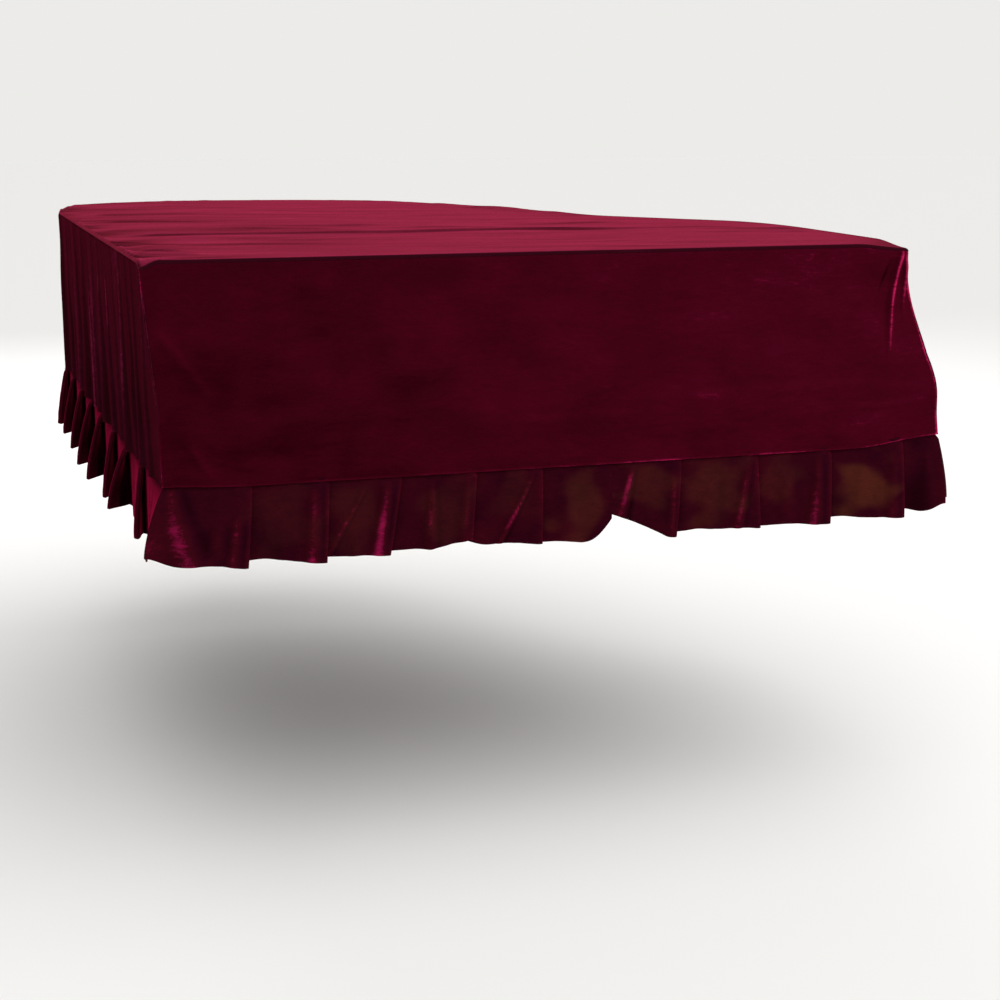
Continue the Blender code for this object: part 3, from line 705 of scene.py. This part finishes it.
seam = -0.0002          # neighbours run into each other by this where they are sewn together
sidePanels = [
    {"name": "bentsidePanel", "node": "bentside_panel", "start": 0.0, "end": skirt["tailStart"] - seam,
     "folds": evenFolds(1.56, 0.10, 3), "grows": (True, False), "seed": 100, "flat": (1.66, 0.365)},
    {"name": "tailPanel", "node": "tail_panel", "start": skirt["tailStart"] + seam, "end": skirt["tailEnd"] - seam,
     "folds": evenFolds(1.0, 0.10, 4), "grows": (False, False), "seed": 200, "flat": (1.00, 0.365)},
    {"name": "bassPanel", "node": "bass_panel", "start": skirt["tailEnd"] + seam, "end": sideLength,
     "folds": bassFolds, "grows": (False, True), "seed": 300, "flat": (1.68, 0.365)},
]
for panel in sidePanels:
    length = panel["end"] - panel["start"]
    place = placeSide(panel["start"], panel["end"], panel["folds"], *panel["grows"], panel["seed"])
    piece = layCloth(panel["name"], stations(length, 0.0048), stations(skirt["sideRun"], 0.0060), place)
    thicken(piece, sideVelvet, reverse)
    declare(piece, panel["node"])
print("sides hung")


# ---- ruffle

ruffleCut = {
    "drop": 0.136,          # seam to hem
    "pitch": 0.182,         # of the plain pleats
    "notchX": 0.070,        # where the two front lengths meet
    "notchRise": 0.043,     # how far their hems rise to it, and along how much of each
    "bassReach": 0.057,
    "trebleReach": 0.105,
    "cornerReach": 0.090,   # how far along a corner opens the ruffle
    "allowance": 0.050,     # goes up behind the skirt by this share of its drop
    "behind": 0.0036,       # and stands back by this at the seam
    "shine": 0.92,          # how strongly the rounds catch the light
    "edgeShine": 0.22,      # and the folded edges
    "wearLitThrough": 0.80,           # and how strongly the thin places are painted browner, as light shining through from behind
}
# how far the ruffle stands out sideways and forwards at the front corners, and how much its hem rises there
bassCorner = {"side": 0.038, "front": 0.026, "rise": 0.022}
trebleCorner = {"side": 0.016, "front": 0.020, "rise": 0.016}

# folded edge of each pleat, how deep it turns under, how far it stands out at the hem, how much lower it hangs,
# how much its far end is drawn up, how far its foot slants back
frontBassPleats = [
    (-0.593, 0.032, 0.016, 0.004, 0.000, 0.013), (-0.458, 0.030, 0.017, 0.005, 0.007, 0.010),
    (-0.327, 0.036, 0.007, 0.003, 0.001, 0.024), (-0.189, 0.030, 0.006, -0.016, 0.004, 0.010),
    (-0.065, 0.032, 0.008, 0.000, 0.004, 0.002),
]
frontTreblePleats = [
    (0.207, 0.032, 0.018, 0.004, 0.000, 0.014), (0.362, 0.034, 0.007, 0.002, 0.000, -0.008),
    (0.516, 0.034, 0.017, 0.002, 0.000, 0.004), (0.669, 0.032, 0.016, 0.012, 0.006, -0.002),
]
# the same down the bass side, measured back from the front corner; these stand straight
bassPleats = [
    (1.470, 0.044, 0.022, 0.000, 0.000), (1.337, 0.044, 0.028, 0.001, 0.004),
    (1.151, 0.045, 0.030, 0.001, 0.006), (0.980, 0.045, 0.034, 0.003, 0.004),
    (0.800, 0.046, 0.034, 0.004, 0.006), (0.605, 0.042, 0.024, 0.001, 0.006),
    (0.419, 0.050, 0.038, -0.018, 0.004), (0.219, 0.042, 0.014, 0.002, 0.008),
]
plainPleat = (0.044, 0.034, 0.002, 0.005)

# soft rounds in the front ruffle: place at the seam and at the hem, half width, height, depth where it starts, how
# strong the painted highlight on it is (painted shade where negative)
frontRounds = [
    (-0.728, -0.688, 0.023, 0.0110, -0.10, 0.72), (-0.640, -0.662, 0.017, 0.0060, 0.45, 0.60),
    (-0.610, -0.634, 0.014, 0.0060, 0.30, 0.70), (-0.484, -0.492, 0.017, 0.0090, 0.02, 0.80),
    (-0.385, -0.462, 0.007, 0.0045, 0.00, 0.70), (-0.352, -0.372, 0.017, 0.0110, 0.00, 1.00),
    (-0.272, -0.276, 0.013, 0.0070, 0.03, 0.60), (-0.205, -0.214, 0.012, 0.0065, 0.05, 0.55),
    (-0.078, -0.146, 0.007, 0.0055, 0.00, 0.90), (-0.020, -0.010, 0.026, 0.0050, 0.30, 0.10),
    (0.112, 0.088, 0.012, 0.0090, 0.00, 1.00), (0.190, 0.187, 0.012, 0.0060, 0.08, 0.60),
    (0.346, 0.322, 0.012, 0.0070, 0.03, 0.70), (0.270, 0.262, 0.022, 0.0045, 0.20, 0.15),
    (0.490, 0.478, 0.015, 0.0075, 0.03, 0.60), (0.420, 0.430, 0.022, 0.0045, 0.20, 0.15),
    (0.590, 0.580, 0.026, 0.0045, 0.10, 0.10), (0.650, 0.646, 0.014, 0.0050, 0.08, 0.35),
    (0.716, 0.724, 0.014, 0.0050, 0.08, 0.20), (0.706, 0.712, 0.060, 0.0005, -0.20, -0.55),
]

# thin places in the front ruffle, painted browner as light shining through from behind: middle, half width, depth of
# the middle, half height, how thin
frontThinLitThrough = [
    (-0.540, 0.055, 0.45, 0.50, 0.20), (-0.415, 0.040, 0.45, 0.45, 0.32), (-0.245, 0.045, 0.55, 0.45, 0.30),
    (-0.120, 0.035, 0.35, 0.35, 0.22), (0.012, 0.042, 0.55, 0.45, 0.62), (0.140, 0.045, 0.35, 0.35, 0.48),
    (0.275, 0.060, 0.45, 0.45, 0.55), (0.410, 0.040, 0.35, 0.35, 0.35), (0.588, 0.055, 0.58, 0.36, 1.15),
]


def flareShare(depth):
    return 1 - (1 - depth) ** 1.5


def ruffleStitches(start, end, pleats, startFlare, endFlare, startLayer, endHang):
    # stitches along the ruffle: mark, distance behind it, tuck, layer, flare, hang, own pleat's flare, freedom, slant
    turn = cloth["turn"]
    rows = [(start, 0.0, 0.0, startLayer, startFlare, 0.0, 0.0, 0.0, 0.0)]
    before, opening = start, startFlare
    for at, tuck, flare, hang, lift, slant in pleats:
        pitch = at - before
        under = min(hang, 0.0)
        rows += [
            (before, -0.10 * pitch, 0.0, -0.9, opening * 0.35, -lift, 0.0, 0.3, 0.0),
            (before, -0.40 * pitch, 0.0, -0.4, flare * 0.25, -lift * 0.5, 0.0, 1.0, slant * 0.3),
            (before, -0.72 * pitch, 0.0, 0.4, flare * 0.62, hang * 0.5, 0.0, 1.0, slant * 0.7),
            (at, turn, 0.0, 1.0, flare, hang, 0.0, 0.0, slant),
            (at, 0.0, 0.0, 0.5, flare, hang, 0.0, 0.0, slant),
            (at, turn, 0.0, 0.0, flare, hang, 0.0, 0.0, slant),
            (at, -turn, tuck, 0.0, 0.0, under, flare, 0.0, slant),
            (at, 0.0, tuck, -0.5, 0.0, under, flare, 0.0, slant),
            (at, -turn, tuck, -1.0, 0.0, under, flare, 0.0, slant),
        ]
        before, opening = at, 0.0
    rest = end - before
    rows += [
        (before, -0.12 * rest, 0.0, -0.9, 0.0, 0.0, 0.0, 0.3, 0.0),
        (before, -0.55 * rest, 0.0, -0.6, endFlare * 0.35, endHang, 0.0, 1.0, 0.0),
        (end, 0.0, 0.0, -0.4, endFlare, endHang, 0.0, 0.0, 0.0),
    ]
    return np.array(rows)


def throughPoints(knots, values, at):
    # smooth curve through uneven knots; a tight turn keeps its neighbours straight
    gap = np.diff(knots)
    slope = np.diff(values, axis=0) / gap[:, None]
    tangent = np.empty_like(values)
    tangent[0], tangent[-1] = slope[0], slope[-1]
    weight = gap[:-1] / (gap[:-1] + gap[1:])
    tangent[1:-1] = slope[:-1] * (1 - weight)[:, None] + slope[1:] * weight[:, None]
    index = np.clip(np.searchsorted(knots, at, side="right") - 1, 0, len(knots) - 2)
    width = gap[index][:, None]
    s = ((at - knots[index]) / gap[index])[:, None]
    return (
        values[index] * (2 * s ** 3 - 3 * s ** 2 + 1) + tangent[index] * width * (s ** 3 - 2 * s ** 2 + s)
        + values[index + 1] * (3 * s ** 2 - 2 * s ** 3) + tangent[index + 1] * width * (s ** 3 - s ** 2)
    )


def makeRuffle(name, route, stitches, seamDrop, seamOut, pushes, rise, rounds, thinLitThroughPlaces, seed):
    mark0, back, tuck, layer, flare, hang, own, freedom, slant = stitches.T
    start, end = mark0[0], mark0[-1]
    flatMark = mark0 - back - tuck
    standing0 = layer * cloth["layer"]
    flat = np.concatenate([[0.0], np.cumsum(np.maximum(np.hypot(np.diff(flatMark), np.diff(standing0)), 1e-4))])
    places = [flat[0]]
    for near, far in zip(flat, flat[1:]):
        count = max(3, math.ceil((far - near) / 0.0045))
        places += list(near + (far - near) * (np.arange(count) + 1) / count)
    places = np.array(places)

    def place(columns, rows):
        depth = (rows * (1 + ruffleCut["allowance"]) - ruffleCut["allowance"])[None, :]
        below = np.maximum(depth, 0)
        spread = flareShare(below)
        pressed = 0.5 + 0.25 * smoothStep(depth / 0.12)
        behind = ruffleCut["behind"] * (1 - smoothStep(depth / 0.07))
        opened = np.sqrt(np.maximum(tuck[:, None] ** 2 - (own[:, None] * spread) ** 2, (0.3 * tuck[:, None]) ** 2))
        mark = (mark0 - back)[:, None] - np.where(tuck[:, None] > 0, opened, 0.0) - slant[:, None] * below
        out = layer[:, None] * cloth["layer"] * pressed + flare[:, None] * spread - behind
        mark = throughPoints(flat, mark, columns)
        out = throughPoints(flat, out, columns)
        drape = throughPoints(flat, hang[:, None] + 0 * depth, columns)
        free = np.interp(columns, flat, freedom)[:, None]
        lit = smoothStep(free / 0.30)
        fromStart = smoothStep(1 - (mark - start) / ruffleCut["cornerReach"])
        fromEnd = smoothStep(1 - (end - mark) / ruffleCut["cornerReach"])
        paintedLightAndTone = np.zeros(mark.shape)
        for atSeam, atHem, width, height, fromDepth, glow in rounds:
            glow = glow * ruffleCut["shine"]
            line = atSeam + (atHem - atSeam) * depth
            growth = smoothStep((depth - fromDepth) / 0.35 + 0.12) * smoothStep(depth / 0.06)
            spreadWidth = width * (0.7 + 0.5 * depth)
            out = out + free * height * growth * softBump((mark - line) / spreadWidth)
            # painted highlight on each round, painted shade just beside it
            light = softBump((mark - line + 0.15 * spreadWidth) / (0.75 * spreadWidth))
            paintedLightAndTone = paintedLightAndTone + lit * glow * growth * light * (0.8 + 0.35 * wander(mark * 0.4, depth * 0.14, 0.05, seed + 5))
            paintedLightAndTone = paintedLightAndTone - lit * 0.5 * glow * growth * softBump((mark - line - 1.1 * spreadWidth) / (0.7 * spreadWidth))
        # thin places, painted browner as light shining through from behind
        thinLitThrough = np.zeros(mark.shape)
        for middle, width, atDepth, reach, share in thinLitThroughPlaces:
            ragged = 1 + 0.35 * wander(mark, depth * 0.14, 0.030, seed + 6)
            away = np.hypot((mark - middle) / width, (depth - atDepth) / reach) * ragged
            thinLitThrough = np.maximum(thinLitThrough, share * ruffleCut["wearLitThrough"] * smoothStep((1.30 - away) / 0.80))
        # painted highlight on the folded edges, painted shade where the cloth turns under
        for edge in flat[1:-1][(layer[1:-1] == 1.0)]:
            onEdge = softBump((columns[:, None] - edge) / 0.0065)
            paintedLightAndTone = paintedLightAndTone + ruffleCut["edgeShine"] * onEdge * smoothStep(below / 0.05)
        paintedLightAndTone = paintedLightAndTone - 0.9 * (np.interp(columns, flat, (tuck > 0) * 1.0)[:, None] > 0.5)
        # painted highlight where the ruffle opens out at a corner
        paintedLightAndTone = paintedLightAndTone + 0.30 * (fromStart * (pushes[0] != 0) + fromEnd * (pushes[1] != 0)) * below
        paintedLightAndTone = paintedLightAndTone + 0.14 * wander(mark, depth * 0.14, 0.045, seed + 7) - 0.10
        # painted highlight along the hem
        paintedLightAndTone = paintedLightAndTone + 0.15 * edgeLight((1 - depth) * ruffleCut["drop"], 0.0040)
        out = out + free * below * 0.0026 * wander(mark, depth * 0.05, 0.028, seed)
        out = out + free * (0.3 + 0.7 * below) * 0.0009 * wander(mark, depth * 0.14, 0.012, seed + 1) * (depth > 0)
        out = out + seamOut(mark)
        length = ruffleCut["drop"] + drape - rise(mark) + 0.0016 * wander(mark, mark * 0, 0.045, seed + 2)
        drop = seamDrop(mark) + cloth["gap"] + depth * length
        moved = mark + spread * (pushes[0] * fromStart + pushes[1] * fromEnd)
        moved = moved - behind * (np.sign(pushes[0]) * fromStart + np.sign(pushes[1]) * fromEnd)
        point, outward = alongRoute(route, moved)
        point = point + outward * out[..., None]
        hung = np.concatenate([point, -drop[..., None]], axis=-1)
        return hung, np.stack([columns[:, None] + 0 * depth, -drop + 0 * mark], axis=-1), paintedLightAndTone, thinLitThrough

    piece = layCloth(name, places, stations(ruffleCut["drop"] * 1.05, 0.0042), place)
    thicken(piece, ruffleVelvet, reverse)
    return piece, flat[-1]


def level(mark):
    return 0 * mark


def cornerRise(fromCorner, rise):
    return rise * smoothStep(1 - fromCorner / 0.050)


def notchFromBass(mark):
    notch = np.maximum(0, 1 - (ruffleCut["notchX"] + half - mark) / ruffleCut["bassReach"]) ** 1.9
    return ruffleCut["notchRise"] * notch + cornerRise(mark, bassCorner["rise"])


def notchFromTreble(mark):
    notch = np.maximum(0, 1 - (mark - half - ruffleCut["notchX"]) / ruffleCut["trebleReach"])
    return ruffleCut["notchRise"] * notch + cornerRise(2 * half - mark, trebleCorner["rise"])


def shifted(pleats, by):
    return [(at + by, *rest) for at, *rest in pleats]


def plainPleats(start, end):
    count = round((end - start) / ruffleCut["pitch"])
    pitch = (end - start) / count
    return [(start + pitch * (index + 0.6), *plainPleat, 0.0) for index in range(count)]


arm = float(frontOut(np.array(skirt["drop"])))
corner = skirt["taper"]
endDepth = arm - cloth["thick"] / 2 - cloth["gap"]      # the side ruffles end behind the front ones
notchMark = ruffleCut["notchX"] + half
# rounds and thin places are on the front ruffle only
roundsOnFront = [(seamX + half, hemX + half, *rest) for seamX, hemX, *rest in frontRounds]
thinLitThroughOnFront = shifted(frontThinLitThrough, half)
ruffles = [
    {"name": "frontRuffleBass", "node": "front_ruffle_bass", "route": frontRoute,
     "start": corner, "end": notchMark - seam, "layer": -0.2, "pleats": shifted(frontBassPleats, half),
     "flares": (bassCorner["front"], 0.004), "pushes": (-bassCorner["side"], 0.0), "rise": notchFromBass,
     "hang": 0.008, "seed": 400},
    {"name": "frontRuffleTreble", "node": "front_ruffle_treble", "route": frontRoute,
     "start": notchMark + seam, "end": 2 * half - corner, "layer": -1.0, "pleats": shifted(frontTreblePleats, half),
     "flares": (0.004, trebleCorner["front"]), "pushes": (0.0, trebleCorner["side"]), "rise": notchFromTreble,
     "hang": 0.012, "seed": 410},
    {"name": "bassRuffle", "node": "bass_ruffle", "route": sideRoute,
     "start": skirt["tailEnd"] + seam, "end": sideLength + endDepth, "layer": -1.0,
     "pleats": [(sideLength + arm - at, *rest, 0.0) for at, *rest in bassPleats],
     "flares": (0.0, bassCorner["side"]), "pushes": (0.0, bassCorner["front"]),
     "rise": lambda mark: cornerRise(sideLength + arm - mark, bassCorner["rise"]),
     "hang": 0.0, "seed": 420},
    {"name": "tailRuffle", "node": "tail_ruffle", "route": sideRoute,
     "start": skirt["tailStart"] + seam, "end": skirt["tailEnd"] - seam, "layer": -1.0,
     "pleats": plainPleats(skirt["tailStart"], skirt["tailEnd"]),
     "flares": (0.0, 0.0), "pushes": (0.0, 0.0), "rise": level, "hang": 0.0, "seed": 430},
    {"name": "bentsideRuffle", "node": "bentside_ruffle", "route": sideRoute,
     "start": -endDepth, "end": skirt["tailStart"] - seam, "layer": -0.4,
     "pleats": plainPleats(-arm, skirt["tailStart"]),
     "flares": (trebleCorner["side"], 0.0), "pushes": (-trebleCorner["front"], 0.0),
     "rise": lambda mark: cornerRise(mark + arm, trebleCorner["rise"]),
     "hang": 0.0, "seed": 440},
]
for part in ruffles:
    onFront = part["route"] is frontRoute
    stitches = ruffleStitches(
        part["start"], part["end"], part["pleats"], *part["flares"], part["layer"], part["hang"]
    )
    seamDrop = (lambda mark: frontSeam(mark - half)) if onFront else sideSeam
    seamOut = (lambda mark: arm + 0 * mark) if onFront else (lambda mark: -skirt["taper"] + 0 * mark)
    piece, flatLength = makeRuffle(
        part["name"], part["route"], stitches, seamDrop, seamOut, part["pushes"], part["rise"],
        roundsOnFront if onFront else [], thinLitThroughOnFront if onFront else [], part["seed"],
    )
    declare(piece, part["node"])
    print(part["name"], "flat length", round(flatLength, 3))


# ---- floor, light and camera

studio = {
    "floorZ": -1.0315,      # the lid is 1.03 m above the floor
    "lens": 67.5,
    "eye": (-1.200, -3.975, 0.2985),
    "turn": -18.77,         # degrees: round to the right, down, and the camera's own small tilt
    "down": 12.47,
    "tilt": 0.362,
    "floor": "#e9e8e6",
    "floorSize": 60,
    "wall": "#ecebe9",      # the same as the floor far off
    "fill": 0.42,           # the room's own soft light
    "overhead": 2.3,
    "overheadSpread": 105,  # degrees; a wide lamp, so its shadow is soft
    "rightBox": 40,
    "backBox": 110,
}


def makeFloor():
    bpy.ops.object.select_all(action="DESELECT")
    bpy.ops.mesh.primitive_plane_add(size=studio["floorSize"], location=(0, 0, studio["floorZ"]))
    floor = bpy.context.active_object
    floor.name = "studioFloor"
    material = bpy.data.materials.new("pale studio floor")
    material.use_nodes = True
    shader = material.node_tree.nodes["Principled BSDF"]
    shader.inputs["Base Color"].default_value = rgb(studio["floor"])
    shader.inputs["Roughness"].default_value = 0.8
    floor.data.materials.append(material)


def addLight(name, kind, at, aim, power, **settings):
    light = bpy.data.lights.new(name, kind)
    light.energy = power
    for key, value in settings.items():
        setattr(light, key, value)
    holder = bpy.data.objects.new(name, light)
    bpy.context.scene.collection.objects.link(holder)
    holder.location = at
    across = np.array(aim) - np.array(at)
    flat = math.hypot(across[0], across[1])
    holder.rotation_euler = (math.atan2(flat, -across[2]), 0.0, math.atan2(across[1], across[0]) - math.pi / 2)


def makeStudio():
    world = bpy.data.worlds.new("soft white room")
    world.use_nodes = True
    tree = world.node_tree
    fill = tree.nodes["Background"]
    fill.inputs["Color"].default_value = rgb("#ffffff")
    fill.inputs["Strength"].default_value = studio["fill"]
    # the wall behind is seen white, and the room's own light stays low
    wall = addNode(tree, "ShaderNodeBackground", (0, -200), {"Color": rgb(studio["wall"])})
    seen = addNode(tree, "ShaderNodeLightPath", (0, 300))
    both = addNode(
        tree, "ShaderNodeMixShader", (300, 0), None,
        {0: seen.outputs["Is Camera Ray"], 1: fill.outputs["Background"], 2: wall.outputs["Background"]},
    )
    tree.links.new(both.outputs["Shader"], tree.nodes["World Output"].inputs["Surface"])
    bpy.context.scene.world = world
    addLight(
        "overheadLight", "SUN", (1.4, -1.8, 4.0), (0, 0, 0), studio["overhead"],
        angle=math.radians(studio["overheadSpread"]),
    )
    addLight(
        "rightSoftbox", "AREA", (3.4, -3.0, 1.0), (0.2, -0.4, -0.2), studio["rightBox"],
        shape="RECTANGLE", size=1.6, size_y=2.4,
    )
    addLight(
        "backSoftbox", "AREA", (0.4, 4.6, 2.3), (0.0, 0.4, 0.0), studio["backBox"],
        shape="RECTANGLE", size=5.0, size_y=2.2,
    )
    bpy.context.scene.view_settings.view_transform = "Standard"
    lens = bpy.data.cameras.new("studioCamera")
    lens.lens = studio["lens"]
    lens.sensor_width = 36
    camera = bpy.data.objects.new("studioCamera", lens)
    bpy.context.scene.collection.objects.link(camera)
    camera.matrix_world = (
        Matrix.Translation(studio["eye"])
        @ Matrix.Rotation(math.radians(studio["turn"]), 4, "Z")
        @ Matrix.Rotation(math.radians(90 - studio["down"]), 4, "X")
        @ Matrix.Rotation(math.radians(studio["tilt"]), 4, "Z")
    )
    bpy.context.scene.camera = camera


makeFloor()
makeStudio()
print("studio ready")
